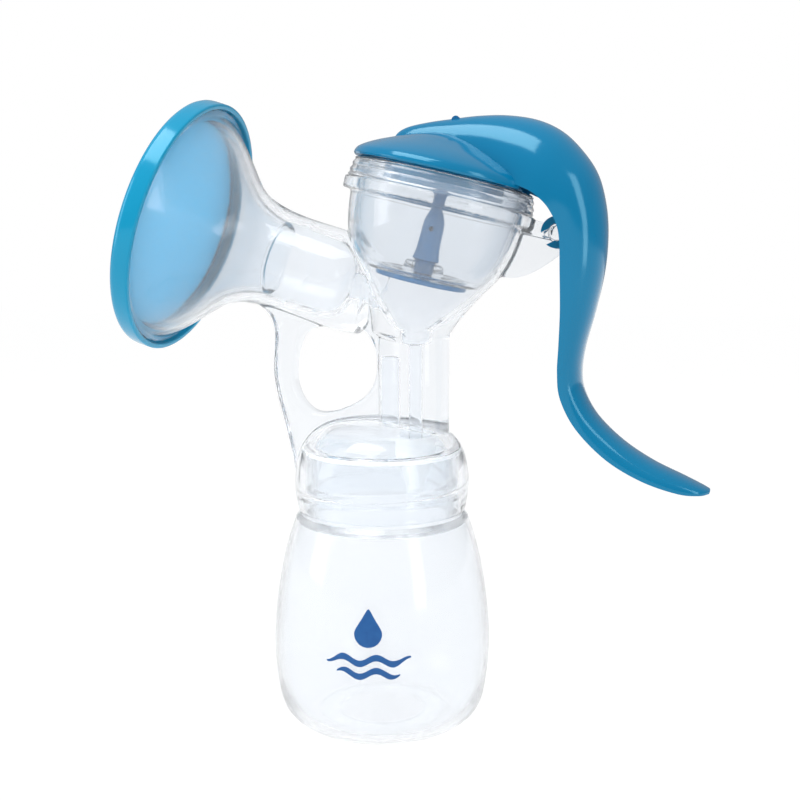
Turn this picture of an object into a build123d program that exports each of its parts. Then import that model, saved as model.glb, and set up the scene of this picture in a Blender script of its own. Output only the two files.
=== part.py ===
from build123d import *

# A hand-operated breast pump that stands on its own bottle.
#
# Frame: origin at the centre of the bottle's base, +Z up, the funnel towards -X and the lever towards +X.
# The whole object is symmetric about the XZ plane.  Lengths are in millimetres, angles in degrees.

import os
from math import cos, hypot, radians, sin

# ---------------------------------------------------------------- bottle
bottle_radius = 32.0
bottle_height = 62.0  # base to shoulder
bottle_base_radius = 22.0
bottle_wall = 1.6
neck_radius = 21.0
neck_height = 17.0  # shoulder to lip
lip_fillet = 0.4
base_groove_width = 6.0
base_groove_depth = 0.6

# ---------------------------------------------------------------- screw thread between bottle and collar
thread_pitch = 4.0
thread_depth = 1.2
thread_turns = 1.5
thread_start = 5.0  # above the shoulder
thread_root_width = 1.9
thread_crest_width = 0.9
thread_clearance = 0.3
thread_sink = 0.3  # how far a ridge is buried in its wall

# ---------------------------------------------------------------- seal ring on the bottle's lip
seal_thickness = 1.2
seal_play = 0.1

# ---------------------------------------------------------------- pump body, heights above the shoulder
collar_wall = 2.9
collar_gap = 0.7
dome_rise = 9.2  # seat of the seal ring to the top of the dome
dome_wall = 2.2
stem_tube_x = 9.6
stem_tube_radius = 10.3
stem_tube_top = 56.0
milk_bore_x = 10.0
milk_bore_radius = 1.8
core_hole_x = 3.6
core_hole_radius = 2.6
core_hole_top = 46.0
spigot_wall = 2.8
spigot_length = 9.0
well_rise = 49.5
well_radius = 4.0

# cup, measured along its own tilted axis from the middle of its flange
cup_x = 16.7
cup_rise = 89.6
cup_tilt = 13.3
cup_radius = 25.0
cup_wall = 2.0
cup_depth = 40.0
bowl_depth = 37.0
flange_overhang = 2.4
flange_thickness = 3.4
rim_step = 0.4
rim_height = 4.6

# finger loop and ear
loop_thickness = 7.0
loop_edge_radius = 1.8
ear_thickness = 2.2
ear_arm_thickness = 6.4
ear_arm_half_height = 2.0

# ---------------------------------------------------------------- diaphragm
diaphragm_wall = 1.0
diaphragm_gap = 0.3
diaphragm_rim = 1.2
diaphragm_play = 0.1
boss_wall = 2.6
boss_height = 3.2

# ---------------------------------------------------------------- cover ring over the rim
ring_overhang = 0.5  # how far the ring's outside lies inside the flange's edge
ring_play = 0.2
ring_taper = 1.2  # how much narrower the ring is at its top
ring_plate = 1.4
ring_plate_width = 4.4
ring_groove_depth = 0.45
ring_groove_width = 0.7
ring_groove_pitch = 1.6
ring_grooves = 3

# ---------------------------------------------------------------- pull stem
plate_radius = 13.3
plate_thickness = 1.3
plate_gap = 0.2
foot_radius = 3.1
barb_radius = 4.0
barb_height = 5.0  # above the plate
shaft_radius = 3.0
shoulder_radius = 2.5
shoulder_height = 10.5  # above the barb
stem_neck_radius = 1.4
neck_base = 14.0  # above the barb
cross_pin_radius = 1.2
cross_pin_half_length = 3.2
cross_pin_height = 22.7  # above the flange's middle plane
stroke_slot = 11.5

# ---------------------------------------------------------------- funnel and suction tube, along their own axis
funnel_x = -57.6
funnel_rise = 82.6
funnel_tilt = 18.2
funnel_radius = 35.85
funnel_lip = 1.6
funnel_back = 1.0  # lip to the cover's open edge
tube_radius = 14.4
tube_bore_radius = 11.4
tube_bore_step = 0.4
tube_step_depth = 35.0
tube_length = 58.0
bore_length = 44.0
bore_taper = 0.8
port_radius = 3.6
port_length = 22.0

# ---------------------------------------------------------------- silicone insert
insert_wall = 1.4
insert_gap = 0.15
insert_end = 28.0
bead_radius = 0.6

# ---------------------------------------------------------------- funnel cover
cover_wall = 1.6
cover_play = 0.25
cover_face_gap = 0.3
cover_fillet = 1.2

# ---------------------------------------------------------------- lever
head_gap = 0.3  # above the cover ring
head_inset = 0.5  # head's edge inside the cover ring's outside
lever_wall = 2.0
skirt_inset = 7.6  # skirt's outside inside the cup's outside
skirt_wall = 1.6
skirt_bottom = 2.0
pin_play = 0.35
seat_half_width = 5.6
seat_thickness = 3.6
pivot_reach = 34.9  # from the cup's axis
pivot_drop = 0.8  # below the flange's middle plane
pivot_radius = 2.3
pivot_half_length = 6.8
pivot_clearance = 0.08
hook_wall = 2.0
hook_thickness = 2.6
hook_side_gap = 0.5
hook_mouth = 3.6
crest_rounding = 0.75  # corner radius as a part of the section's smaller half

# ---------------------------------------------------------------- duckbill valve
valve_wall = 1.2
valve_play = 0.05
valve_sleeve_length = 5.6
valve_bill_length = 12.0
valve_bill_width = 11.0
valve_slit = 0.5

os.makedirs("parts", exist_ok=True)

# ---------------------------------------------------------------- levels and frames that follow from the sizes
lip_z = bottle_height + neck_height
seat_z = lip_z + seal_thickness + 2 * seal_play
collar_bottom = bottle_height + collar_gap
neck_bore = neck_radius - bottle_wall
thread_bore = neck_radius + thread_depth + thread_clearance
collar_radius = thread_bore + collar_wall
dome_top = seat_z + dome_rise
dome_underside = dome_top - dome_wall
well_floor = bottle_height + well_rise
spigot_radius = milk_bore_radius + spigot_wall
spigot_bottom = dome_underside - spigot_length

flange_radius = cup_radius + flange_overhang
cup_bore = cup_radius - cup_wall
rim_radius = cup_radius - rim_step
ring_base = flange_thickness / 2 + ring_play
ring_top = rim_height + diaphragm_rim + 2 * diaphragm_play + ring_plate
ring_radius = flange_radius - ring_overhang
head_radius = ring_radius - head_inset
head_base = ring_top + head_gap
skirt_radius = cup_radius - skirt_inset


def tilted(x, z, angle):
    """A sketch plane in the XZ plane whose +Y leans by an angle from vertical towards +X."""
    lean = radians(angle)
    return Plane(origin=(x, 0, z), x_dir=(cos(lean), 0, -sin(lean)), z_dir=(0, -1, 0))


def axis_of(plane):
    """The line along a tilted plane's +Y, about which its profiles are revolved."""
    return Axis(plane.origin, plane.y_dir)


def across(plane, height):
    """The plane square to a tilted plane's +Y, at a height along it."""
    return Plane(origin=plane.from_local_coords((0, height, 0)), x_dir=plane.x_dir, z_dir=plane.y_dir)


def shifted(points, distance):
    """An open outline moved sideways, to its right as it runs, by a distance."""
    moved = []
    for i, (x, y) in enumerate(points):
        before = points[max(i - 1, 0)]
        after = points[min(i + 1, len(points) - 1)]
        run_x, run_y = after[0] - before[0], after[1] - before[1]
        run = hypot(run_x, run_y)
        moved.append((x + distance * run_y / run, y - distance * run_x / run))
    return moved


side = Plane.XZ
cup = tilted(cup_x, bottle_height + cup_rise, cup_tilt)
funnel = tilted(funnel_x, bottle_height + funnel_rise, funnel_tilt - 90)
pivot = cup.from_local_coords((pivot_reach, -pivot_drop, 0))


# ---------------------------------------------------------------- bottle
def thread_ridge(wall_radius, crest_radius, bottom):
    """A helical ridge with a trapezoid section, from its wall to its crest."""
    outwards = 1 if crest_radius > wall_radius else -1
    middle = (wall_radius + crest_radius) / 2
    root = wall_radius - outwards * thread_sink - middle
    crest = crest_radius - middle
    with BuildPart() as ridge:
        with BuildLine(Plane.XY.offset(bottom)) as path:
            Helix(pitch=thread_pitch, height=thread_pitch * thread_turns, radius=middle)
        with BuildSketch(Plane(origin=path.line @ 0, x_dir=(1, 0, 0), z_dir=path.line % 0)):
            with BuildLine():
                Polyline(
                    (root, -thread_root_width / 2),
                    (crest, -thread_crest_width / 2),
                    (crest, thread_crest_width / 2),
                    (root, thread_root_width / 2),
                    close=True,
                )
            make_face()
        sweep(is_frenet=True)
    return ridge.part


def bottle_side(inset):
    """The bottle's side from the floor to the shoulder, moved inwards by an inset."""
    return [
        (bottle_base_radius - inset, inset),
        (bottle_base_radius + 3.6 - inset, 0.9 + inset),
        (bottle_base_radius + 7.0 - inset, 4.0 + inset),
        (bottle_radius - 1.0 - inset, 10.5),
        (bottle_radius - inset, 0.35 * bottle_height),
        (bottle_radius - 1.0 - inset, 0.6 * bottle_height),
        (bottle_radius - 3.2 - inset, 0.8 * bottle_height),
        (collar_radius - inset, bottle_height - 1.2 - inset),
    ]


with BuildPart() as bottle:
    with BuildSketch(side):
        with BuildLine():
            outside = Spline(*bottle_side(0))
            Polyline(
                outside @ 1,
                (collar_radius - 1.2, bottle_height),
                (neck_radius, bottle_height),
                (neck_radius, lip_z),
                (0, lip_z),
                (0, 0),
                outside @ 0,
            )
        make_face()
    revolve(axis=Axis.Z)
    with BuildSketch(side):
        with BuildLine():
            inside = Spline(*bottle_side(bottle_wall))
            Polyline(
                inside @ 1,
                (neck_bore, bottle_height - bottle_wall),
                (neck_bore, lip_z),
                (0, lip_z),
                (0, bottle_wall),
                inside @ 0,
            )
        make_face()
    revolve(axis=Axis.Z, mode=Mode.SUBTRACT)
    with BuildSketch(side):
        with Locations((bottle_base_radius - base_groove_width, 0)):
            Rectangle(base_groove_width, 2 * base_groove_depth)
    revolve(axis=Axis.Z, mode=Mode.SUBTRACT)
    fillet(bottle.edges().filter_by(GeomType.CIRCLE).group_by(Axis.Z)[-1], lip_fillet)
    add(thread_ridge(neck_radius, neck_radius + thread_depth, bottle_height + thread_start))

# ---------------------------------------------------------------- seal ring
with BuildPart() as seal_ring:
    with BuildSketch(Plane.XY.offset(lip_z + seal_play)):
        Circle(neck_radius + thread_depth)
        Circle(neck_bore, mode=Mode.SUBTRACT)
    extrude(amount=seal_thickness)
    fillet(seal_ring.edges().filter_by(GeomType.CIRCLE), seal_thickness / 4)

# ---------------------------------------------------------------- pump body
# outline of the strut that carries the finger loop, and of the hole in it: x and height above the shoulder
strut_edge = [(-42, 64), (-37.2, 60.6), (-33.2, 56.6), (-32.3, 48), (-32.6, 40), (-30.8, 31), (-28, 20), (-26, 8)]
loop_hole = [
    (-13.5, 55.0),
    (-4.5, 53.0),
    (-1.0, 43.5),
    (-3.4, 35.4),
    (-11.0, 30.4),
    (-20.5, 29.4),
    (-25.2, 35.0),
    (-25.8, 44.0),
    (-22.6, 52.6),
]

with BuildPart() as finger_loop:
    with BuildSketch(Plane(origin=(0, 0, bottle_height), x_dir=(1, 0, 0), z_dir=(0, -1, 0))):
        with BuildLine():
            edge = Spline(*strut_edge)
            Polyline(edge @ 1, (-8, 8), (stem_tube_x, 22), (stem_tube_x, stem_tube_top), (-20, 68), edge @ 0)
        make_face()
        with BuildLine():
            Spline(*loop_hole, periodic=True)
        make_face(mode=Mode.SUBTRACT)
    extrude(amount=loop_thickness / 2, both=True)
    curved = finger_loop.edges().filter_by(GeomType.BSPLINE)
    fillet(curved.group_by(Axis.Y)[0] + curved.group_by(Axis.Y)[-1], loop_edge_radius)

with BuildPart() as ear:
    with BuildSketch(Plane(origin=pivot, x_dir=(1, 0, 0), z_dir=(0, -1, 0))):
        with BuildLine():
            edge = Spline((-20.5, -11.2), (-15.6, -12.1), (-12.0, -12.4), (-7.8, -11.3), (-3.7, -9.1), (0.6, -6.0))
            Polyline(edge @ 1, (0.8, 0), (-13, 3), (-20.5, -3), edge @ 0)
        make_face()
    extrude(amount=ear_thickness / 2, both=True)
    with BuildSketch(Plane(origin=pivot, x_dir=(1, 0, 0), z_dir=(0, -1, 0))):
        with BuildLine():
            Polyline(
                (-14, ear_arm_half_height + 3.2),
                (0, ear_arm_half_height),
                (0, -ear_arm_half_height),
                (-14, 3.2 - ear_arm_half_height),
                close=True,
            )
        make_face()
    extrude(amount=ear_arm_thickness / 2, both=True)
    with BuildSketch(Plane(origin=pivot, x_dir=(1, 0, 0), z_dir=(0, -1, 0))):
        Circle(pivot_radius)
    extrude(amount=pivot_half_length, both=True)

# inside of the cup from its rim to its bottom, and of the cone from its lip to the tube: radius and height
bowl_side = [
    (cup_bore, rim_height + 1),
    (cup_bore, -2.0),
    (cup_bore - 0.7, -9.0),
    (cup_bore - 2.8, -16.0),
    (cup_bore - 7.0, -22.8),
    (cup_bore - 12.6, -30.0),
    (well_radius, -bowl_depth),
]
cone_side = [
    (funnel_radius - 2.4, funnel_back + funnel_lip),
    (funnel_radius - 8.8, -4.4),
    (tube_bore_radius + 9.2, -10.4),
    (tube_bore_radius + 3.6, -16.8),
    (tube_bore_radius + 0.6, -23.5),
    (tube_bore_radius, -29.5),
]

with BuildPart() as pump_body:
    # collar and dome
    with BuildSketch(side):
        with BuildLine():
            collar = Spline(
                (collar_radius - 0.9, collar_bottom),
                (collar_radius, collar_bottom + 4.5),
                (collar_radius - 0.1, seat_z - 5.0),
                (collar_radius - 2.0, seat_z + 1.0),
                (collar_radius - 6.1, seat_z + 5.6),
                (9.0, dome_top - 0.6),
                (0, dome_top),
            )
            Polyline(collar @ 1, (0, collar_bottom), collar @ 0)
        make_face()
    revolve(axis=Axis.Z)
    # hollow stem
    with BuildSketch(Plane.XY.offset(seat_z + 2)):
        with Locations((stem_tube_x, 0)):
            Circle(stem_tube_radius)
    extrude(amount=bottle_height + stem_tube_top - seat_z)
    # cup with its flange and rim
    with BuildSketch(cup):
        with BuildLine():
            wall = Spline(
                (cup_radius, -flange_thickness / 2),
                (cup_radius - 0.6, -8.0),
                (cup_radius - 2.6, -15.5),
                (cup_radius - 6.8, -22.6),
                (cup_radius - 11.2, -30.5),
                (stem_tube_radius + 0.2, -cup_depth),
            )
            Polyline(
                wall @ 1,
                (0, -cup_depth),
                (0, rim_height),
                (rim_radius, rim_height),
                (rim_radius, flange_thickness / 2),
                (flange_radius, flange_thickness / 2),
                (flange_radius, -flange_thickness / 2),
                wall @ 0,
            )
        make_face()
    revolve(axis=axis_of(cup))
    # funnel and suction tube
    with BuildSketch(funnel):
        with BuildLine():
            flare = Spline(
                (funnel_radius - 1.2, funnel_back),
                (funnel_radius - 6.6, -4.6),
                (tube_radius + 8.6, -10.6),
                (tube_radius + 3.0, -17.0),
                (tube_radius + 0.6, -24.0),
                (tube_radius - 0.3, -34.0),
                (tube_radius - 1.4, -tube_length),
            )
            Polyline(
                flare @ 1,
                (0, -tube_length),
                (0, funnel_back + funnel_lip),
                (funnel_radius, funnel_back + funnel_lip),
                (funnel_radius, funnel_back),
                flare @ 0,
            )
        make_face()
    revolve(axis=axis_of(funnel))
    add(finger_loop.part)
    add(ear.part)
    # hollow of the collar, with the seat for the seal ring
    with BuildSketch(side):
        with BuildLine():
            vault = Spline(
                (neck_bore - 0.6, seat_z),
                (neck_bore - 2.2, seat_z + 3.0),
                (10.0, dome_underside - 0.7),
                (0, dome_underside),
            )
            Polyline(
                vault @ 1,
                (0, collar_bottom - 1),
                (thread_bore, collar_bottom - 1),
                (thread_bore, seat_z),
                vault @ 0,
            )
        make_face()
    revolve(axis=Axis.Z, mode=Mode.SUBTRACT)
    # hollow of the cup and its well
    with BuildSketch(cup):
        with BuildLine():
            bowl = Spline(*bowl_side)
            Polyline(bowl @ 1, (0, -bowl_depth), (0, rim_height + 1), bowl @ 0)
        make_face()
    revolve(axis=axis_of(cup), mode=Mode.SUBTRACT)
    with BuildSketch(Plane.XY.offset(well_floor)):
        with Locations((milk_bore_x, 0)):
            Circle(well_radius)
    extrude(amount=2 * well_radius, mode=Mode.SUBTRACT)
    # cone and bore of the tube, rounded at its end, and the port into the cup
    with BuildSketch(funnel):
        with BuildLine():
            cone = Spline(*cone_side)
            bore = Polyline(
                cone @ 1,
                (tube_bore_radius, -tube_step_depth),
                (tube_bore_radius - tube_bore_step, -tube_step_depth),
                (tube_bore_radius - bore_taper, -bore_length),
            )
            end = Spline(
                bore @ 1,
                (0.72 * tube_bore_radius, -bore_length - 0.55 * tube_bore_radius),
                (0, -bore_length - 0.8 * tube_bore_radius),
            )
            Polyline(end @ 1, (0, funnel_back + funnel_lip + 1), (funnel_radius - 2.4, funnel_back + funnel_lip + 1), cone @ 0)
        make_face()
    revolve(axis=axis_of(funnel), mode=Mode.SUBTRACT)
    with BuildSketch(across(funnel, -bore_length)):
        Circle(port_radius)
    extrude(amount=-port_length, mode=Mode.SUBTRACT)
    # valve spigot, milk bore and the hole that keeps the stem's wall even
    with BuildSketch(Plane.XY.offset(spigot_bottom)):
        with Locations((milk_bore_x, 0)):
            Circle(spigot_radius)
    extrude(amount=spigot_length)
    with BuildSketch(Plane.XY.offset(spigot_bottom)):
        with Locations((milk_bore_x, 0)):
            Circle(milk_bore_radius)
    extrude(amount=well_floor - spigot_bottom + 1, mode=Mode.SUBTRACT)
    with BuildSketch(Plane.XY.offset(dome_underside - 2)):
        with Locations((core_hole_x, 0)):
            Circle(core_hole_radius)
    extrude(amount=bottle_height + core_hole_top - dome_underside + 2, mode=Mode.SUBTRACT)
    add(thread_ridge(thread_bore, thread_bore - thread_depth, bottle_height + thread_start - thread_pitch / 2))

# ---------------------------------------------------------------- duckbill valve on the spigot
valve_bore = spigot_radius + valve_play
valve_radius = valve_bore + valve_wall

with BuildPart() as duckbill_valve:
    with BuildSketch(Plane.XY.offset(spigot_bottom - valve_play)):
        with Locations((milk_bore_x, 0)):
            Circle(valve_radius)
            Circle(valve_bore, mode=Mode.SUBTRACT)
    extrude(amount=valve_sleeve_length)
    with BuildSketch(Plane.XY.offset(spigot_bottom - valve_play)):
        with Locations((milk_bore_x, 0)):
            Circle(valve_radius)
    with BuildSketch(Plane.XY.offset(spigot_bottom - valve_play - valve_bill_length)):
        with Locations((milk_bore_x, 0)):
            RectangleRounded(valve_slit + 2 * valve_wall, valve_bill_width, valve_wall)
    loft()
    with BuildSketch(Plane.XY.offset(spigot_bottom - valve_play)):
        with Locations((milk_bore_x, 0)):
            Circle(valve_bore - valve_wall)
    with BuildSketch(Plane.XY.offset(spigot_bottom - valve_play - valve_bill_length)):
        with Locations((milk_bore_x, 0)):
            RectangleRounded(valve_slit, valve_bill_width - 2 * valve_wall, 0.4 * valve_slit)
    loft(mode=Mode.SUBTRACT)

# ---------------------------------------------------------------- silicone insert in the funnel
insert_lip_face = funnel_back + funnel_lip + insert_gap
insert_outside = shifted(cone_side, insert_gap)[1:-1] + [(tube_bore_radius - insert_gap - 0.1, -insert_end)]
insert_inside = shifted(insert_outside, insert_wall)

with BuildPart() as funnel_insert:
    with BuildSketch(funnel):
        with BuildLine():
            outside = Spline((cone_side[0][0] - insert_gap, insert_lip_face), *insert_outside)
            inside = Spline(
                (insert_inside[-1][0], -insert_end),
                *reversed(insert_inside[:-1]),
                (cone_side[0][0] - insert_gap - 1.6 * insert_wall, insert_lip_face + insert_wall),
            )
            Line(outside @ 1, inside @ 0)
            Polyline(
                inside @ 1,
                (funnel_radius - 0.3, insert_lip_face + insert_wall),
                (funnel_radius - 0.3, insert_lip_face),
                outside @ 0,
            )
        make_face()
        with Locations((insert_inside[-1][0], bead_radius - insert_end)):
            Circle(bead_radius)
    revolve(axis=axis_of(funnel))

# ---------------------------------------------------------------- funnel cover
cover_bore = funnel_radius + cover_play
cover_radius = cover_bore + cover_wall
cover_face = insert_lip_face + insert_wall + cover_face_gap
cover_depth = cover_face + cover_wall

with BuildPart() as funnel_cover:
    with BuildSketch(across(funnel, 0)):
        Circle(cover_radius)
    extrude(amount=cover_depth)
    with BuildSketch(across(funnel, 0)):
        Circle(cover_bore)
    extrude(amount=cover_face, mode=Mode.SUBTRACT)
    outer_corner = funnel_cover.faces().sort_by(axis_of(funnel))[-1].edges()
    fillet(outer_corner, cover_fillet)

# ---------------------------------------------------------------- diaphragm
membrane_outside = shifted(bowl_side[1:4], diaphragm_gap)
membrane_inside = shifted(membrane_outside, diaphragm_wall)
plate_top = -cup_bore + 1.4
floor_low = plate_top + plate_gap
floor_high = floor_low + diaphragm_wall
boss_bore = foot_radius + diaphragm_play
boss_radius = boss_bore + boss_wall
roll_radius = cup_bore - 6.6

with BuildPart() as diaphragm:
    with BuildSketch(cup):
        with BuildLine():
            rim = rim_height + diaphragm_play
            outside = Spline((cup_bore - diaphragm_gap, rim), *membrane_outside, (roll_radius, floor_low))
            Polyline(
                outside @ 1,
                (boss_bore, floor_low),
                (boss_bore, floor_high + boss_height),
                (boss_radius - 1, floor_high + boss_height),
                (boss_radius, floor_high),
                (roll_radius - 1.5, floor_high),
            )
            inside = Spline(
                (roll_radius - 1.5, floor_high),
                *reversed(membrane_inside),
                (cup_bore - diaphragm_gap - diaphragm_wall, rim + diaphragm_rim),
            )
            Polyline(
                inside @ 1,
                (rim_radius - diaphragm_play, rim + diaphragm_rim),
                (rim_radius - diaphragm_play, rim),
                outside @ 0,
            )
        make_face()
    revolve(axis=axis_of(cup))

# ---------------------------------------------------------------- cover ring
ring_bore = rim_radius + ring_play
ring_middle = (ring_base + ring_top) / 2

with BuildPart() as rim_ring:
    with BuildSketch(cup):
        with BuildLine():
            Polyline(
                (ring_bore, ring_base),
                (ring_radius, ring_base),
                (ring_radius, ring_base + 1.0),
                (ring_radius - ring_taper, ring_top),
                (rim_radius - ring_plate_width, ring_top),
                (rim_radius - ring_plate_width, ring_top - ring_plate),
                (ring_bore, ring_top - ring_plate),
                close=True,
            )
        make_face()
        for groove in range(ring_grooves):
            height = ring_middle + (groove - (ring_grooves - 1) / 2) * ring_groove_pitch
            edge = ring_radius - ring_taper * (height - ring_base - 1.0) / (ring_top - ring_base - 1.0)
            with Locations((edge, height)):
                Rectangle(2 * ring_groove_depth, ring_groove_width, mode=Mode.SUBTRACT)
    revolve(axis=axis_of(cup))

# ---------------------------------------------------------------- pull stem
with BuildPart() as pull_stem:
    with BuildSketch(cup):
        with BuildLine():
            flank = Spline(
                (barb_radius, plate_top + barb_height + 0.6),
                (shaft_radius, plate_top + barb_height + 3.0),
                (shoulder_radius, plate_top + barb_height + shoulder_height),
                (stem_neck_radius, plate_top + barb_height + neck_base),
            )
            Polyline(
                flank @ 1,
                (stem_neck_radius, cross_pin_height),
                (0, cross_pin_height),
                (0, plate_top - plate_thickness),
                (plate_radius, plate_top - plate_thickness),
                (plate_radius, plate_top),
                (foot_radius, plate_top),
                (foot_radius, plate_top + barb_height),
                (barb_radius, plate_top + barb_height),
                flank @ 0,
            )
        make_face()
    revolve(axis=axis_of(cup))
    pin_centre = cup.from_local_coords((0, cross_pin_height, 0))
    with BuildSketch(Plane(origin=pin_centre, x_dir=(1, 0, 0), z_dir=(0, -1, 0))):
        Circle(cross_pin_radius)
    extrude(amount=cross_pin_half_length, both=True)

# ---------------------------------------------------------------- lever
# stations down the arm, from the nose on the head to the tip of the tail: crest, inner edge, half width.
# Crest and inner edge are x and z from the pivot.
arm_stations = [
    ((-46.5, 28.6), (-46.5, 24.5), 2.0),
    ((-36.5, 30.8), (-37.0, 20.0), 7.0),
    ((-22.3, 32.2), (-24.0, 15.5), 13.5),
    ((-10.0, 31.4), (-13.5, 13.0), 16.5),
    ((0.8, 27.2), (-7.0, 10.6), 16.2),
    ((9.2, 18.2), (-3.0, 6.8), 15.0),
    ((13.1, 7.4), (0.6, 1.5), 14.0),
    ((13.3, -4.5), (1.0, -6.5), 13.3),
    ((11.4, -19.0), (1.8, -19.0), 12.2),
    ((8.4, -31.0), (1.4, -30.6), 11.0),
    ((7.4, -38.2), (1.0, -38.2), 10.2),
    ((9.0, -45.0), (2.4, -46.0), 9.6),
    ((13.0, -51.6), (6.8, -54.4), 9.0),
    ((19.9, -57.8), (15.6, -62.6), 8.6),
    ((28.2, -62.8), (24.9, -67.4), 8.2),
    ((36.2, -66.6), (34.2, -70.2), 7.0),
    ((41.4, -69.0), (40.6, -70.6), 4.2),
]
head_side = [
    (head_radius, head_base + 1.0),
    (head_radius - 0.9, head_base + 2.8),
    (head_radius - 5.4, head_base + 6.0),
    (head_radius - 10.7, head_base + 8.7),
    (head_radius - 18.4, head_base + 11.3),
    (0, head_base + 12.4),
]


def arm(inset, overshoot):
    """The arm as a loft through its stations, moved inwards by an inset where it is thick enough.

    The inner side is extended by an overshoot, which leaves a hollow arm open there.
    """
    with BuildPart() as solid:
        for crest, inner, half_width in arm_stations:
            depth_x, depth_z = crest[0] - inner[0], crest[1] - inner[1]
            depth = hypot(depth_x, depth_z)
            if half_width < 2 * inset or depth < 1.5 * inset:
                continue
            out_x, out_z = depth_x / depth, depth_z / depth
            low, high = -overshoot, depth - inset
            centre = pivot + Vector(inner[0] + out_x * (low + high) / 2, 0, inner[1] + out_z * (low + high) / 2)
            width, height = 2 * (half_width - inset), high - low
            with BuildSketch(Plane(origin=centre, x_dir=(0, 1, 0), z_dir=(out_z, 0, -out_x))):
                Rectangle(width, height)
                fillet(vertices().group_by(Axis.Y)[-1], crest_rounding * min(width / 2, height))
        loft()
    return solid.part


# slot for the stem's neck: from a little behind the stem to where it stands when the lever is squeezed
slot_width = 2 * (stem_neck_radius + pin_play)
slot_back = cross_pin_radius + 2 * pin_play
slot_middle = (slot_back - stroke_slot) / 2
seat_width = 2 * (cross_pin_half_length + pin_play)

with BuildPart() as head_hollow:
    with BuildSketch(cup):
        with BuildLine():
            roof = Spline(*shifted(head_side[1:], -lever_wall)[:-1], (0, head_side[-1][1] - lever_wall))
            Polyline(
                roof @ 1,
                (0, ring_base),
                (head_radius - lever_wall, ring_base),
                (head_radius - lever_wall, head_base + 1.0),
                roof @ 0,
            )
        make_face()
    revolve(axis=axis_of(cup))

with BuildPart() as hooks:
    with BuildSketch(Plane(origin=pivot, x_dir=(1, 0, 0), z_dir=(0, -1, 0))):
        Circle(pivot_radius + pivot_clearance + hook_wall)
        with BuildLine():
            Polyline((-2.0, 3.0), (2.0, 9.0), (9.5, 9.0), (12.3, 3.0), (12.3, -3.0), (2.0, -3.6), close=True)
        make_face()
        Circle(pivot_radius + pivot_clearance, mode=Mode.SUBTRACT)
        with Locations(Location((0, 0, 0), (0, 0, 205))):
            Rectangle(3 * pivot_radius, hook_mouth, align=(Align.MIN, Align.CENTER), mode=Mode.SUBTRACT)
    extrude(amount=ear_arm_thickness / 2 + hook_side_gap + hook_thickness, both=True)
    with BuildSketch(Plane(origin=pivot, x_dir=(1, 0, 0), z_dir=(0, -1, 0))):
        Rectangle(60, 60)
    extrude(amount=ear_arm_thickness / 2 + hook_side_gap, both=True, mode=Mode.SUBTRACT)

with BuildPart() as lever:
    with BuildSketch(cup):
        with BuildLine():
            roof = Spline(*head_side)
            Polyline(roof @ 1, (0, head_base), (head_radius - 0.3, head_base), roof @ 0)
        make_face()
    revolve(axis=axis_of(cup))
    add(arm(0, 0))
    add(arm(lever_wall, 2.0), mode=Mode.SUBTRACT)
    add(head_hollow.part, mode=Mode.SUBTRACT)
    # inner skirt that stiffens the head
    with BuildSketch(cup):
        with BuildLine():
            Polyline(
                (skirt_radius, skirt_bottom),
                (skirt_radius, head_base + 9.0),
                (skirt_radius - skirt_wall, head_base + 9.4),
                (skirt_radius - skirt_wall, skirt_bottom),
                close=True,
            )
        make_face()
    revolve(axis=axis_of(cup))
    # thicker seat under the crest that carries the stem's cross pin
    with BuildSketch(Plane(origin=pin_centre, x_dir=(1, 0, 0), z_dir=(0, -1, 0))):
        with BuildLine():
            Polyline((-15.5, -3.2), (-15.5, -8.4), (-8.0, -6.4), (6.0, -5.0), (6.0, 0.2), (-2.0, -0.2), close=True)
        make_face()
    extrude(amount=seat_half_width, both=True)
    add(hooks.part)
    # groove for the cross pin, along the crest, and the slot for the stem's neck
    with BuildSketch(Plane(origin=pin_centre, x_dir=(1, 0, 0), z_dir=(0, -1, 0))):
        with BuildLine():
            Polyline(
                (slot_back + 0.8, 6),
                (slot_back + 0.8, -cross_pin_radius - pin_play),
                (0, -cross_pin_radius - pin_play),
                (-stroke_slot, -cross_pin_radius - pin_play - 1.4),
                (-stroke_slot, 6),
                close=True,
            )
        make_face()
    extrude(amount=seat_width / 2, both=True, mode=Mode.SUBTRACT)
    with BuildSketch(across(cup, skirt_bottom)):
        with Locations((slot_middle, 0)):
            SlotOverall(stroke_slot + slot_back, slot_width)
    extrude(amount=2 * cross_pin_height, mode=Mode.SUBTRACT)

# ---------------------------------------------------------------- finished pieces
pieces = {
    "bottle": bottle,
    "seal_ring": seal_ring,
    "pump_body": pump_body,
    "duckbill_valve": duckbill_valve,
    "funnel_insert": funnel_insert,
    "funnel_cover": funnel_cover,
    "diaphragm": diaphragm,
    "rim_ring": rim_ring,
    "pull_stem": pull_stem,
    "lever": lever,
}
for name, piece in pieces.items():
    piece.part.label = name
    export_step(piece.part, f"parts/{name}.step")
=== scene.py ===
from math import asin, cos, hypot, pi, radians, sin

import bmesh
import bpy
from mathutils import Matrix, Vector


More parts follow.
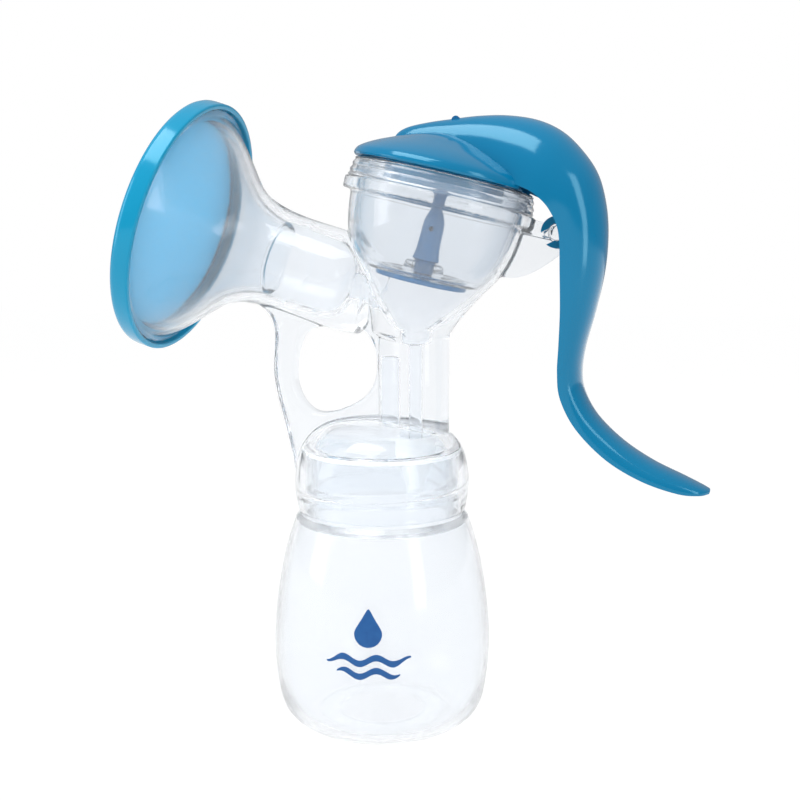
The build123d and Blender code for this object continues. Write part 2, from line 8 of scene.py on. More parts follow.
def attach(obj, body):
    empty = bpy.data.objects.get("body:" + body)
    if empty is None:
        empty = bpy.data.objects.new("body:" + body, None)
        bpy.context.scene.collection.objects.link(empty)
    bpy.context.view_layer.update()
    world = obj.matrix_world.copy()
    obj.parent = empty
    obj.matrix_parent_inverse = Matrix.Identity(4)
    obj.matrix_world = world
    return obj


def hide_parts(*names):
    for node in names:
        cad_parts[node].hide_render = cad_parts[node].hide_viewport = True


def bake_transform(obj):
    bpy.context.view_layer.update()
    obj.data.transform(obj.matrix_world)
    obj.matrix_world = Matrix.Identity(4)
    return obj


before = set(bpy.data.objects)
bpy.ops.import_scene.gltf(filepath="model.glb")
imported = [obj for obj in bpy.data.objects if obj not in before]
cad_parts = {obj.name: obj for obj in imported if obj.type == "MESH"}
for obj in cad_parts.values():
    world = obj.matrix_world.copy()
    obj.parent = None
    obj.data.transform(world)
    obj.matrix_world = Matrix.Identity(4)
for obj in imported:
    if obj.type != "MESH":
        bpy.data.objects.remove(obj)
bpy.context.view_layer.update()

MM = 0.001
SEGMENTS = 144
WELD = 1e-5  # m; a boolean leaves vertices closer than this, which an STL file cannot keep apart

# ---------------------------------------- sizes shared with the CAD model, in mm
CUP_X, CUP_Z, CUP_TILT = 16.7, 151.6, 13.3
FUNNEL_X, FUNNEL_Z, FUNNEL_TILT = -57.6, 144.6, 18.2
PIVOT_REACH, PIVOT_DROP = 34.9, 0.8


class Tilted:
    """A frame in the XZ plane whose along axis leans from vertical towards +X.

    Its points are (across, along, side), in mm.
    """

    def __init__(self, x, z, lean_deg):
        lean = radians(lean_deg)
        self.origin = Vector((x, 0, z))
        self.across = Vector((cos(lean), 0, -sin(lean)))
        self.along = Vector((sin(lean), 0, cos(lean)))

    def at(self, across, along, side=0.0):
        return (self.origin + self.across * across + self.along * along + Vector((0, side, 0))) * MM


cup = Tilted(CUP_X, CUP_Z, CUP_TILT)
funnel = Tilted(FUNNEL_X, FUNNEL_Z, FUNNEL_TILT - 90)
PIVOT = (cup.at(PIVOT_REACH, -PIVOT_DROP)) / MM


# ---------------------------------------- curves and meshes
def smooth(points, steps=8, closed=False):
    """A Catmull-Rom curve through the points; each point may be any tuple of numbers."""
    count = len(points)
    spans = count if closed else count - 1
    made = []
    for i in range(spans):
        if closed:
            p = [points[(i + k) % count] for k in (-1, 0, 1, 2)]
        else:
            p = [points[min(max(i + k, 0), count - 1)] for k in (-1, 0, 1, 2)]
        for s in range(steps):
            t = s / steps
            made.append(
                tuple(
                    0.5
                    * (
                        2 * b
                        + (c - a) * t
                        + (2 * a - 5 * b + 4 * c - d) * t * t
                        + (3 * b - a - 3 * c + d) * t**3
                    )
                    for a, b, c, d in zip(*p)
                )
            )
    if not closed:
        made.append(tuple(points[-1]))
    return made


def rounded(points, radius, steps=5):
    """A closed outline with its corners rounded; radius is one number, or one for each corner."""
    count = len(points)
    radii = radius if isinstance(radius, (list, tuple)) else [radius] * count
    made = []
    for i, r in enumerate(radii):
        here = Vector(points[i])
        before = Vector(points[i - 1]) - here
        after = Vector(points[(i + 1) % count]) - here
        r = min(r, 0.45 * before.length, 0.45 * after.length)
        if r < 1e-4:
            made.append(tuple(here))
            continue
        start, end = here + before.normalized() * r, here + after.normalized() * r
        for s in range(steps + 1):
            t = s / steps
            made.append(tuple(start * (1 - t) ** 2 + here * 2 * t * (1 - t) + end * t * t))
    return made


def new_mesh(name, verts, faces):
    mesh = bpy.data.meshes.new(name)
    mesh.from_pydata([tuple(v) for v in verts], [], faces)
    bm = bmesh.new()
    bm.from_mesh(mesh)
    bmesh.ops.remove_doubles(bm, verts=bm.verts, dist=1e-7)
    bmesh.ops.dissolve_degenerate(bm, edges=bm.edges, dist=1e-7)
    bmesh.ops.recalc_face_normals(bm, faces=bm.faces)
    bm.to_mesh(mesh)
    bm.free()
    piece = bpy.data.objects.new(name, mesh)
    bpy.context.scene.collection.objects.link(piece)
    return piece


def spun(name, outline, place, segments=SEGMENTS):
    """A closed outline of (radius, height) turned about a frame's axis."""
    verts, faces = [], []
    count = len(outline)
    for k in range(segments):
        turn = 2 * pi * k / segments
        for r, h in outline:
            r = max(r, 0.0)
            verts.append(place.at(r * cos(turn), h, r * sin(turn)))
    for k in range(segments):
        nxt = (k + 1) % segments
        for i in range(count):
            j = (i + 1) % count
            faces.append((k * count + i, k * count + j, nxt * count + j, nxt * count + i))
    return new_mesh(name, verts, faces)


def lofted(name, sections):
    """A closed solid through rings of points, with its two ends capped."""
    count = len(sections[0])
    verts = [p for ring in sections for p in ring]
    faces = []
    for k in range(len(sections) - 1):
        for i in range(count):
            j = (i + 1) % count
            faces.append((k * count + i, k * count + j, (k + 1) * count + j, (k + 1) * count + i))
    faces.append(tuple(range(count)))
    faces.append(tuple((len(sections) - 1) * count + i for i in range(count)))
    return new_mesh(name, verts, faces)


def prism(name, outline, half_width, place):
    """An outline of (across, along) drawn out to both sides of the middle plane."""
    rings = [[place.at(a, h, side) for a, h in outline] for side in (-half_width, half_width)]
    return lofted(name, rings)


def circle(radius, along=0.0, steps=48):
    """An outline of (across, along) round a point on a frame's axis."""
    turns = [2 * pi * i / steps for i in range(steps)]
    return [(radius * cos(turn), along + radius * sin(turn)) for turn in turns]


def combine(target, other, operation):
    """A boolean of two solids, applied; the second one is used up."""
    modifier = target.modifiers.new(operation, "BOOLEAN")
    modifier.operation = operation
    modifier.solver = "EXACT"
    modifier.object = other
    bake(target)
    bpy.data.objects.remove(other)
    bm = bmesh.new()
    bm.from_mesh(target.data)
    bmesh.ops.remove_doubles(bm, verts=bm.verts, dist=WELD)
    bm.to_mesh(target.data)
    bm.free()
    return target


def bake(piece):
    """Applies a piece's modifiers."""
    graph = bpy.context.evaluated_depsgraph_get()
    mesh = bpy.data.meshes.new_from_object(piece.evaluated_get(graph))
    piece.modifiers.clear()
    piece.data = mesh
    return piece


def shade(piece, angle_deg=35):
    """Smooth shading with the edges sharper than an angle kept crisp."""
    mesh = piece.data
    mesh.polygons.foreach_set("use_smooth", [True] * len(mesh.polygons))
    bm = bmesh.new()
    bm.from_mesh(mesh)
    for edge in bm.edges:
        edge.smooth = not (len(edge.link_faces) == 2 and edge.calc_face_angle(0) > radians(angle_deg))
    bm.to_mesh(mesh)
    bm.free()
    return piece


def dress(piece, material, body, slot, *replaced, angle_deg=35):
    """Gives a piece its material, shading and body, and hides the CAD parts it replaces; slot is not used."""
    piece.data.materials.clear()
    piece.data.materials.append(material)
    shade(piece, angle_deg)
    if body:
        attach(piece, body)
    if replaced:
        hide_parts(*replaced)
    return piece


# ---------------------------------------- materials
def material(name, colour, roughness, **settings):
    """A Principled material with its node tree; settings are socket names with underscores."""
    mat = bpy.data.materials.new(name)
    mat.use_nodes = True
    shader = mat.node_tree.nodes["Principled BSDF"]
    shader.inputs["Base Color"].default_value = (*colour, 1)
    shader.inputs["Roughness"].default_value = roughness
    for key, value in settings.items():
        shader.inputs[key.replace("_", " ")].default_value = value
    return mat


def noise(mat, scale, detail=2.0, stretch=(1, 1, 1)):
    """A noise texture in object space; returns its Fac socket."""
    nodes, links = mat.node_tree.nodes, mat.node_tree.links
    coords = nodes.new("ShaderNodeTexCoord")
    mapping = nodes.new("ShaderNodeMapping")
    mapping.inputs["Scale"].default_value = stretch
    texture = nodes.new("ShaderNodeTexNoise")
    texture.inputs["Scale"].default_value = scale
    texture.inputs["Detail"].default_value = detail
    links.new(coords.outputs["Object"], mapping.inputs["Vector"])
    links.new(mapping.outputs["Vector"], texture.inputs["Vector"])
    return texture.outputs["Fac"]


def vary_roughness(mat, source, low, high):
    nodes, links = mat.node_tree.nodes, mat.node_tree.links
    spread = nodes.new("ShaderNodeMapRange")
    spread.inputs["To Min"].default_value = low
    spread.inputs["To Max"].default_value = high
    links.new(source, spread.inputs["Value"])
    links.new(spread.outputs["Result"], nodes["Principled BSDF"].inputs["Roughness"])


def bump(mat, source, strength, distance):
    nodes, links = mat.node_tree.nodes, mat.node_tree.links
    relief = nodes.new("ShaderNodeBump")
    relief.inputs["Strength"].default_value = strength
    relief.inputs["Distance"].default_value = distance
    links.new(source, relief.inputs["Height"])
    links.new(relief.outputs["Normal"], nodes["Principled BSDF"].inputs["Normal"])


def tint(mat, source, first, second):
    """Colours the surface between two tints."""
    nodes, links = mat.node_tree.nodes, mat.node_tree.links
    ramp = nodes.new("ShaderNodeValToRGB")
    ramp.color_ramp.elements[0].color = (*first, 1)
    ramp.color_ramp.elements[0].position = 0.35
    ramp.color_ramp.elements[1].color = (*second, 1)
    ramp.color_ramp.elements[1].position = 0.65
    links.new(source, ramp.inputs["Fac"])
    links.new(ramp.outputs["Color"], nodes["Principled BSDF"].inputs["Base Color"])


def lamps_pass(mat, tint_colour):
    """Lets lamps shine straight through a clear material, as light does through a thin moulded wall."""
    nodes, links = mat.node_tree.nodes, mat.node_tree.links
    open_way = nodes.new("ShaderNodeBsdfTransparent")
    open_way.inputs["Color"].default_value = (*tint_colour, 1)
    path = nodes.new("ShaderNodeLightPath")
    choice = nodes.new("ShaderNodeMixShader")
    links.new(path.outputs["Is Shadow Ray"], choice.inputs["Fac"])
    links.new(nodes["Principled BSDF"].outputs["BSDF"], choice.inputs[1])
    links.new(open_way.outputs["BSDF"], choice.inputs[2])
    links.new(choice.outputs["Shader"], nodes["Material Output"].inputs["Surface"])


def clear_plastic(name, colour, roughness, ior, ripple, clearness=1.0, passed=0.94, **settings):
    """A moulded clear plastic: slightly wavy, slightly uneven in gloss, milky where clearness is below 1."""
    mat = material(name, colour, roughness, IOR=ior, Transmission_Weight=clearness, **settings)
    vary_roughness(mat, noise(mat, 60), roughness, roughness + 0.05)
    bump(mat, noise(mat, 55, 1.0), ripple, 0.0006)
    lamps_pass(mat, (passed * 0.99, passed, passed))
    return mat


clear_body = clear_plastic(
    "clear_body", (0.90, 0.92, 0.945), 0.09, 1.16, 0.06, 0.95, Coat_Weight=0.45, Coat_Roughness=0.03
)
clear_ring = clear_plastic(
    "clear_ring", (0.90, 0.925, 0.955), 0.03, 1.22, 0.04, 0.96, Coat_Weight=0.5, Coat_Roughness=0.03
)
clear_bottle = clear_plastic(
    "clear_bottle", (0.895, 0.91, 0.93), 0.16, 1.18, 0.10, 0.91, Coat_Weight=0.4, Coat_Roughness=0.08
)
clear_silicone = clear_plastic(
    "clear_silicone", (0.955, 0.97, 0.985), 0.08, 1.10, 0.08, 0.985, Coat_Weight=0.15, Coat_Roughness=0.1
)
milky_silicone = clear_plastic("milky_silicone", (0.95, 0.955, 0.96), 0.35, 1.15, 0.08, 0.55, 0.85)

BLUE_SHEEN = (0.45, 0.88, 1.0, 1.0)
blue_gloss = material(
    "blue_gloss", (0.0, 0.19, 0.39), 0.13, Specular_IOR_Level=0.75, Specular_Tint=BLUE_SHEEN
)
tint(blue_gloss, noise(blue_gloss, 30, 1.0), (0.0, 0.178, 0.365), (0.0, 0.195, 0.395))
bump(blue_gloss, noise(blue_gloss, 40, 1.0), 0.03, 0.0006)

blue_stem = material("blue_stem", (0.0, 0.125, 0.31), 0.3)
tint(blue_stem, noise(blue_stem, 120, 1.0), (0.0, 0.12, 0.29), (0.0, 0.135, 0.33))
vary_roughness(blue_stem, noise(blue_stem, 300), 0.25, 0.35)

blue_cover = material(
    "blue_cover", (0.003, 0.30, 0.53), 0.14, Specular_IOR_Level=0.7, Specular_Tint=BLUE_SHEEN
)
tint(blue_cover, noise(blue_cover, 24, 1.0), (0.002, 0.29, 0.51), (0.004, 0.315, 0.55))
bump(blue_cover, noise(blue_cover, 40, 1.0), 0.03, 0.0006)

# painted light: the cover's inner face gets a lighter copy of the cover's blue, standing in for the light the
# clear cone keeps from it
blue_inside_painted_light = material("blue_inside_painted_light", (0.01, 0.50, 0.85), 0.3, Specular_IOR_Level=0.2)
tint(blue_inside_painted_light, noise(blue_inside_painted_light, 24, 1.0), (0.005, 0.48, 0.82), (0.015, 0.52, 0.88))

blue_print = material("blue_print", (0.006, 0.10, 0.33), 0.45)
vary_roughness(blue_print, noise(blue_print, 400), 0.4, 0.55)
tint(blue_print, noise(blue_print, 500), (0.005, 0.095, 0.32), (0.008, 0.11, 0.35))

# ---------------------------------------- parts kept from the CAD model, in clear plastics
CAD_MATERIALS = {
    "bottle": clear_bottle,
    "seal_ring": milky_silicone,
    "duckbill_valve": milky_silicone,
    "funnel_insert": clear_silicone,
}
for node, mat in CAD_MATERIALS.items():
    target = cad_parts[node]
    target.data.materials.clear()
    target.data.materials.append(mat)

# ---------------------------------------- pump body: the CAD shape with moulded fillets
VOXEL = 0.45 * MM


def moulded(name, node):
    """A copy of a CAD node whose inside corners are filled and outside corners worn round."""
    piece = bpy.data.objects.new(name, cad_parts[node].data.copy())
    bpy.context.scene.collection.objects.link(piece)
    remesh = piece.modifiers.new("remesh", "REMESH")
    remesh.mode = "VOXEL"
    remesh.voxel_size = VOXEL
    soften = piece.modifiers.new("soften", "SMOOTH")
    soften.factor = 0.5
    soften.iterations = 10
    return bake(piece)


body_shell = moulded("body_shell", "pump_body")
dress(body_shell, clear_body, "pump", "pump_body", "pump_body", angle_deg=180)

# ---------------------------------------- cover ring
RING_BASE, RING_TOP, RING_RADIUS, RING_TAPER = 1.9, 7.4, 26.9, 1.2
RING_BORE, RING_LIP, RING_PLATE = 24.8, 20.2, 1.4
RIDGES, RIDGE_HEIGHT = 3.0, 0.16
RIDGE_BASE, RIDGE_SPAN, RIDGE_STEPS = RING_BASE + 0.3, RING_TOP - RING_BASE - 0.7, 30


def ring_edge(height):
    """Radius of the ring's ridged outside at a height."""
    part = (height - RING_BASE) / (RING_TOP - RING_BASE)
    ridge = RIDGE_HEIGHT * (1 + cos(2 * pi * part * RIDGES))
    return RING_RADIUS - 0.3 - RING_TAPER * part + ridge


ridge_heights = [RIDGE_BASE + RIDGE_SPAN * i / RIDGE_STEPS for i in range(RIDGE_STEPS + 1)]
ring_outside = [(ring_edge(height), height) for height in ridge_heights]
ring_plate = [
    (RING_RADIUS - RING_TAPER - 0.6, RING_TOP),
    (RING_LIP, RING_TOP),
    (RING_LIP, RING_TOP - RING_PLATE),
    (RING_BORE, RING_TOP - RING_PLATE),
]
ring_outline = (
    [(RING_BORE, RING_BASE), (RING_RADIUS - 0.4, RING_BASE)]
    + ring_outside
    + rounded(ring_plate, [0, 0.5, 0.4, 0.3])
)
cover_ring = spun("cover_ring", ring_outline, cup)
dress(cover_ring, clear_ring, "pump", "rim_ring", "rim_ring", angle_deg=50)

# ---------------------------------------- diaphragm
membrane_outside = smooth(
    [(22.7, 4.7), (22.7, -2.0), (22.0, -9.0), (20.0, -15.8), (18.3, -19.0), (16.4, -21.0), (14.6, -21.4)], 8
)
membrane_floor = smooth(
    [(13.0, -21.3), (11.4, -20.9), (9.6, -21.3), (8.2, -21.35), (6.6, -21.3), (3.25, -21.3)], 5
)
membrane_boss = [(3.25, -17.2), (4.6, -17.2), (5.5, -17.6), (5.9, -19.6), (6.4, -20.3)]
membrane_top = smooth(
    [(8.2, -20.4), (9.6, -20.3), (11.4, -19.8), (13.0, -20.3), (14.6, -20.4), (15.8, -20.1)], 5
)
membrane_inside = smooth(
    [(17.3, -18.4), (19.0, -15.4), (21.0, -8.8), (21.7, -2.0), (21.7, 4.2), (21.7, 5.8)], 8
)
membrane_rim = [(24.3, 5.8), (24.3, 4.7)]
membrane = spun(
    "membrane",
    membrane_outside + membrane_floor + membrane_boss + membrane_top + membrane_inside + membrane_rim,
    cup,
)
dress(membrane, clear_silicone, None, "diaphragm", "diaphragm")
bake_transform(membrane)

# ---------------------------------------- pull stem
PLATE_TOP, PLATE_LOW, PLATE_RADIUS = -21.6, -22.9, 13.3
PIN_HEIGHT, PIN_RADIUS, PIN_HALF = 22.7, 1.2, 3.2
DOT_HEIGHT, DOT_RADIUS, DOT_FLOOR, DOT_REACH = -7.6, 0.8, -1.0, 5.0
BLADE_FLATNESS = 0.62

blade_side = (
    [(0.0, PLATE_TOP - 0.3), (2.7, PLATE_TOP - 0.3), (2.9, PLATE_TOP + 4.6)]
    + smooth(
        [(3.9, PLATE_TOP + 5.2), (3.5, PLATE_TOP + 7.2), (3.25, PLATE_TOP + 10.0), (3.1, PLATE_TOP + 14.5)], 5
    )
    + smooth(
        [(3.0, PLATE_TOP + 16.0), (2.5, PLATE_TOP + 17.6), (1.9, PLATE_TOP + 19.4), (1.7, PLATE_TOP + 22.0)],
        5,
    )
    + [(1.4, PIN_HEIGHT + 0.37), (0.0, PIN_HEIGHT + 0.37)]
)
stem = spun("stem", blade_side, cup, 64)
stem.data.transform(Matrix.Diagonal((1, BLADE_FLATNESS, 1, 1)))
plate_side = rounded(
    [(0, PLATE_LOW), (PLATE_RADIUS, PLATE_LOW), (PLATE_RADIUS, PLATE_TOP), (0, PLATE_TOP)], [0, 0.3, 0.3, 0]
)
dot = prism("stem_dot", circle(DOT_RADIUS, DOT_HEIGHT, 20), DOT_REACH, cup)
dot.data.transform(Matrix.Translation((0, -(DOT_REACH + DOT_FLOOR) * MM, 0)))
combine(stem, dot, "DIFFERENCE")
combine(stem, spun("stem_plate", plate_side, cup), "UNION")
combine(stem, prism("stem_pin", circle(PIN_RADIUS, PIN_HEIGHT, 24), PIN_HALF, cup), "UNION")
dress(stem, blue_stem, "stem", "pull_stem", "pull_stem", angle_deg=40)

# ---------------------------------------- generic mark printed on the bottle
MARK_ANGLE, MARK_RADIUS = radians(7.0), 31.0
PRINT_LIFT, PRINT_DEPTH = 0.10, 0.06


def drop_outline(centre_z, radius, tip, steps=32):
    """A milk drop: round below, drawn to a point above."""
    points = []
    for i in range(steps):
        turn = 2 * pi * i / steps
        up = max(cos(turn), 0.0)
        across = radius * sin(turn) * (1 - 0.55 * up * up)
        points.append((across, centre_z + radius * cos(turn) + (tip - radius) * up**3))
    return points


def wave_outline(centre_z, half_length, thickness, rise, steps=36):
    """A band that rises and falls along its length."""
    line = []
    for i in range(steps + 1):
        along = -half_length + 2 * half_length * i / steps
        line.append((along, centre_z + rise * sin(2 * pi * along / 9.0)))
    taper = [thickness * min(1.0, 4.0 * min(i, steps - i) / steps + 0.25) for i in range(steps + 1)]
    upper = [(a, z + t) for (a, z), t in zip(line, taper)]
    lower = [(a, z - t) for (a, z), t in zip(line, taper)]
    return upper + lower[::-1]


def printed(name, outline):
    """A thin ink patch that follows the bottle's outside; the outline is (arc length, height) in mm."""
    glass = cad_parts["bottle"]
    flat = bpy.data.meshes.new(name)
    flat.from_pydata([(a * MM, 0, z * MM) for a, z in outline], [], [tuple(range(len(outline)))])
    bm = bmesh.new()
    bm.from_mesh(flat)
    bmesh.ops.triangulate(bm, faces=bm.faces)
    bmesh.ops.subdivide_edges(bm, edges=bm.edges, cuts=3, use_grid_fill=True)
    bm.to_mesh(flat)
    bm.free()
    for vertex in flat.vertices:
        turn = MARK_ANGLE + vertex.co.x / (MARK_RADIUS * MM)
        way = Vector((sin(turn), -cos(turn), 0))
        height = Vector((0, 0, vertex.co.z))
        _, spot, _, _ = glass.ray_cast(height + way * 60 * MM, -way)
        vertex.co = spot + way * PRINT_LIFT * MM
    piece = bpy.data.objects.new(name, flat)
    bpy.context.scene.collection.objects.link(piece)
    thick = piece.modifiers.new("ink", "SOLIDIFY")
    thick.thickness = PRINT_DEPTH * MM
    thick.offset = 0
    return bake(piece)


MARK = {
    "mark_drop": drop_outline(35.0, 3.8, 6.6),
    "mark_wave_upper": wave_outline(27.6, 11.5, 0.9, 0.9),
    "mark_wave_lower": wave_outline(24.0, 8.5, 0.9, 0.9),
}
for name, outline in MARK.items():
    dress(printed(name, outline), blue_print, "bottle", "bottle")

# ---------------------------------------- funnel cover
COVER_BORE, COVER_RADIUS, COVER_FACE, COVER_DEPTH = 36.1, 37.7, 4.45, 6.05
cover_outline = rounded(
    [
        (0, COVER_FACE),
        (COVER_BORE, COVER_FACE),
        (COVER_BORE, 0),
        (COVER_RADIUS, 0),
        (COVER_RADIUS, COVER_DEPTH),
        (0, COVER_DEPTH),
    ],
    [0, 0.8, 0.5, 0.6, 2.2, 0],
)
dust_cover = spun("dust_cover", cover_outline, funnel)
dress(dust_cover, blue_cover, "cover", "funnel_cover", "funnel_cover")
# the cover's inner face takes the lighter blue of painted light, the rest the cover's own blue
dust_cover.data.materials.append(blue_inside_painted_light)
for face in dust_cover.data.polygons:
    reach = Vector(face.center) / MM - funnel.origin
    on_inner_face = abs(reach.dot(funnel.along) - COVER_FACE) < 0.1
    face.material_index = 1 if on_inner_face else 0

# ---------------------------------------- lever
# stations down the arm, from the nose on the head to the tip of the tail, from the pivot:
# crest x and z, inner edge x and z, half width
ARM_STATIONS = [
    (-46.6, 26.4, -46.6, 23.0, 1.6),
    (-45.6, 28.2, -45.8, 22.0, 3.4),
    (-42.5, 29.8, -43.0, 20.5, 4.8),
    (-36.4, 30.9, -37.5, 18.5, 6.4),
    (-30.2, 31.5, -32.0, 17.0, 8.0),
    (-22.3, 32.1, -25.0, 15.5, 10.0),
    (-14.0, 31.9, -18.5, 14.2, 12.2),
    (-5.7, 30.3, -12.0, 12.6, 14.4),
    (1.1, 26.9, -7.0, 10.6, 15.4),
    (6.6, 21.5, -3.8, 8.2, 15.3),
    (10.6, 15.3, -1.6, 5.6, 14.9),
    (12.8, 7.4, 0.4, 1.6, 14.2),
    (13.5, -0.7, 1.2, -2.8, 13.7),
    (12.9, -10.2, 1.4, -10.4, 13.1),
    (10.7, -21.2, 1.6, -21.0, 12.1),
    (8.2, -30.9, 1.3, -30.5, 11.1),
    (7.3, -37.9, 1.0, -38.0, 10.3),
    (8.2, -43.7, 1.9, -45.2, 9.7),
    (12.1, -50.6, 6.2, -53.4, 9.1),
    (19.2, -57.4, 14.4, -61.6, 8.7),
    (27.4, -62.7, 24.0, -67.2, 8.2),
    (35.8, -66.6, 33.6, -70.4, 7.2),
    (40.4, -68.8, 39.4, -71.0, 5.6),
    (42.6, -69.9, 42.2, -70.9, 2.6),
]
ARM_ROUNDNESS = 2.5
ARM_POINTS = 28


def arm_sections(inset, overshoot):
    """Rings of points down the arm, moved inwards by an inset; the open side is extended."""
    sections = []
    for x0, z0, x1, z1, half in smooth(ARM_STATIONS, 6):
        depth = hypot(x0 - x1, z0 - z1)
        if inset and (depth < 1.6 * inset or half < 2 * inset):
            continue
        out_x, out_z = (x0 - x1) / depth, (z0 - z1) / depth
        reach, side = depth - inset, half - inset
        ring = []
        for i in range(ARM_POINTS + 1):
            turn = pi * (i / ARM_POINTS - 0.5)
            y = side * (1 if turn > 0 else -1) * abs(sin(turn)) ** (2 / ARM_ROUNDNESS)
            d = reach * abs(cos(turn)) ** (2 / ARM_ROUNDNESS) if abs(turn) < 1.5707 else 0.0
            ring.append((x1 + out_x * d, y, z1 + out_z * d))
        if overshoot:
            ring.append((x1 - out_x * overshoot, side, z1 - out_z * overshoot))
            ring.append((x1 - out_x * overshoot, -side, z1 - out_z * overshoot))
        sections.append([(PIVOT + Vector(p)) * MM for p in ring])
    return sections


HEAD_BASE, HEAD_RADIUS, WALL = 7.7, 26.4, 2.0
head_top = [
    (26.3, 8.8), (25.6, 10.0), (23.6, 11.4), (20.5, 13.0),
    (16.0, 14.9), (11.0, 16.9), (5.0, 18.6), (0.0, 19.2),
]
head_rim = [(0.0, HEAD_BASE), (HEAD_RADIUS - 0.4, HEAD_BASE), (HEAD_RADIUS, HEAD_BASE + 0.5)]
head_outline = head_rim + smooth(head_top, 6)
hollow_top = [(24.4, 8.8), (23.6, 9.3), (20.0, 11.0), (15.2, 13.0), (10.4, 14.9), (4.7, 16.6), (0.0, 17.2)]
hollow_outline = [(0.0, 2.0), (24.4, 2.0)] + smooth(hollow_top, 6)

lever = spun("lever_shell", head_outline, cup)
combine(lever, lofted("arm", arm_sections(0, 0)), "UNION")
combine(lever, lofted("arm_hollow", arm_sections(WALL, 3.0)), "DIFFERENCE")
combine(lever, spun("head_hollow", hollow_outline, cup), "DIFFERENCE")
skirt_side = rounded([(15.8, 2.0), (17.4, 2.0), (17.4, 13.2), (15.8, 13.8)], [0.3, 0.3, 0, 0])
skirt = spun("skirt", skirt_side, cup)
combine(lever, skirt, "UNION")

# hooks that clip over the ear's barrel, open downwards on the funnel's side
HOOK_BORE, HOOK_RADIUS, HOOK_MIDDLE, HOOK_HALF = 2.38, 4.38, 5.0, 1.3
HOOK_MOUTH, HOOK_MOUTH_ANGLE = 3.6, radians(205)
HOOK_WEB = [(-2, 3), (2, 9), (9.5, 9), (12.3, 3), (12.3, -3), (2, -3.6)]
pivot = Tilted(PIVOT.x, PIVOT.z, 0)


# the bore and its mouth as one keyhole outline
mouth_half_angle = asin(HOOK_MOUTH / 2 / HOOK_BORE)
mouth_way = Vector((cos(HOOK_MOUTH_ANGLE), sin(HOOK_MOUTH_ANGLE)))
mouth_side = Vector((-mouth_way.y, mouth_way.x)) * HOOK_MOUTH / 2
bore_start, bore_sweep = HOOK_MOUTH_ANGLE + mouth_half_angle, 2 * pi - 2 * mouth_half_angle
keyhole = [
    (HOOK_BORE * cos(bore_start + bore_sweep * i / 40), HOOK_BORE * sin(bore_start + bore_sweep * i / 40))
    for i in range(41)
] + [tuple(mouth_way * 8 - mouth_side), tuple(mouth_way * 8 + mouth_side)]
for side in (-1, 1):
    hook = prism("hook", circle(HOOK_RADIUS), HOOK_HALF, pivot)
    combine(hook, prism("hook_web", HOOK_WEB, HOOK_HALF, pivot), "UNION")
    combine(hook, prism("hook_keyhole", keyhole, 2 * HOOK_HALF, pivot), "DIFFERENCE")
    hook.data.transform(Matrix.Translation((0, side * HOOK_MIDDLE * MM, 0)))
    combine(lever, hook, "UNION")
dress(lever, blue_gloss, "lever", "lever", "lever", angle_deg=32)

# ---------------------------------------- floor, light and camera
floor_mesh = bpy.data.meshes.new("floor")
FLOOR = 3.0  # m, half its width
corners = [(-FLOOR, -FLOOR, 0), (FLOOR, -FLOOR, 0), (FLOOR, FLOOR, 0), (-FLOOR, FLOOR, 0)]
floor_mesh.from_pydata(corners, [], [(0, 1, 2, 3)])
floor = bpy.data.objects.new("floor", floor_mesh)
bpy.context.scene.collection.objects.link(floor)
floor_white = material("floor_white", (0.12, 0.12, 0.12), 0.9, Specular_IOR_Level=0.1)
floor_white.node_tree.nodes["Principled BSDF"].inputs["Emission Color"].default_value = (1, 1, 1, 1)
floor_white.node_tree.nodes["Principled BSDF"].inputs["Emission Strength"].default_value = 0.92
floor.data.materials.append(floor_white)

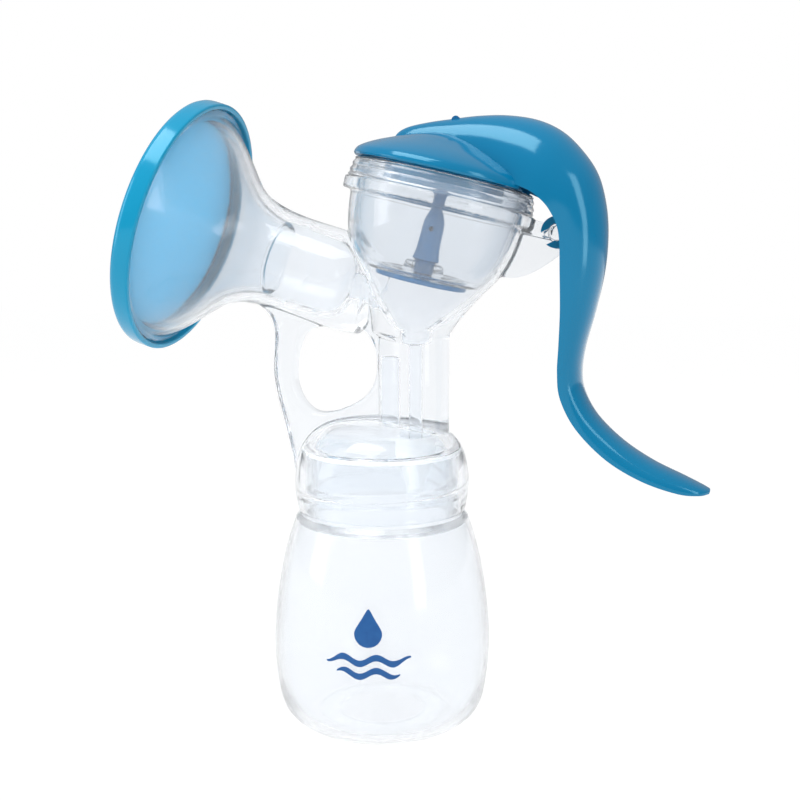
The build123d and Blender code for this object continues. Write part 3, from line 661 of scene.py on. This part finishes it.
world = bpy.data.worlds.new("studio")
bpy.context.scene.world = world
world.use_nodes = True
nodes, links = world.node_tree.nodes, world.node_tree.links
direction = nodes.new("ShaderNodeTexCoord")
split = nodes.new("ShaderNodeSeparateXYZ")
sky = nodes.new("ShaderNodeValToRGB")
sky.color_ramp.elements[0].position, sky.color_ramp.elements[0].color = 0.0, (0.50, 0.52, 0.55, 1)
sky.color_ramp.elements[1].position, sky.color_ramp.elements[1].color = 1.0, (1.05, 1.05, 1.05, 1)
links.new(direction.outputs["Generated"], split.inputs["Vector"])
links.new(split.outputs["Z"], sky.inputs["Fac"])
lighting = nodes["Background"]
links.new(sky.outputs["Color"], lighting.inputs["Color"])
lighting.inputs["Strength"].default_value = 0.6
backdrop = nodes.new("ShaderNodeBackground")
backdrop.inputs["Color"].default_value = (1, 1, 1, 1)
backdrop.inputs["Strength"].default_value = 1.0
path = nodes.new("ShaderNodeLightPath")
blend = nodes.new("ShaderNodeMixShader")
seen = nodes.new("ShaderNodeMath")
seen.operation = "MAXIMUM"
links.new(path.outputs["Is Camera Ray"], seen.inputs[0])
links.new(path.outputs["Is Transmission Ray"], seen.inputs[1])
links.new(seen.outputs["Value"], blend.inputs["Fac"])
links.new(lighting.outputs["Background"], blend.inputs[1])
links.new(backdrop.outputs["Background"], blend.inputs[2])
links.new(blend.outputs["Shader"], nodes["World Output"].inputs["Surface"])


def area_light(name, spot, aim, size, power, colour=(1, 1, 1)):
    lamp = bpy.data.lights.new(name, "AREA")
    lamp.shape = "RECTANGLE"
    lamp.size, lamp.size_y = size
    lamp.energy = power
    lamp.color = colour
    holder = bpy.data.objects.new(name, lamp)
    holder.location = spot
    holder.rotation_euler = (Vector(aim) - Vector(spot)).to_track_quat("-Z", "Y").to_euler()
    bpy.context.scene.collection.objects.link(holder)
    return holder


MIDDLE = (0.0, 0.0, 0.11)
area_light("top_softbox", (-0.15, -0.25, 0.75), MIDDLE, (0.5, 0.35), 2.8)
area_light("left_softbox", (-0.75, -0.35, 0.35), MIDDLE, (0.35, 0.6), 1.7)
area_light("right_softbox", (0.65, -0.45, 0.30), MIDDLE, (0.2, 0.6), 1.2)

CAMERA_AZIMUTH, CAMERA_DROP = radians(13.19), radians(7.076)
camera = bpy.data.cameras.new("camera")
camera.sensor_width = 36.0
camera.lens = 46.17
holder = bpy.data.objects.new("camera", camera)
holder.location = (0.07325, -0.28943, 0.13189)
looks = Vector(
    (
        -sin(CAMERA_AZIMUTH) * cos(CAMERA_DROP),
        cos(CAMERA_AZIMUTH) * cos(CAMERA_DROP),
        -sin(CAMERA_DROP),
    )
)
holder.rotation_euler = looks.to_track_quat("-Z", "Y").to_euler()
bpy.context.scene.collection.objects.link(holder)
bpy.context.scene.camera = holder
bpy.context.scene.view_settings.view_transform = "Standard"
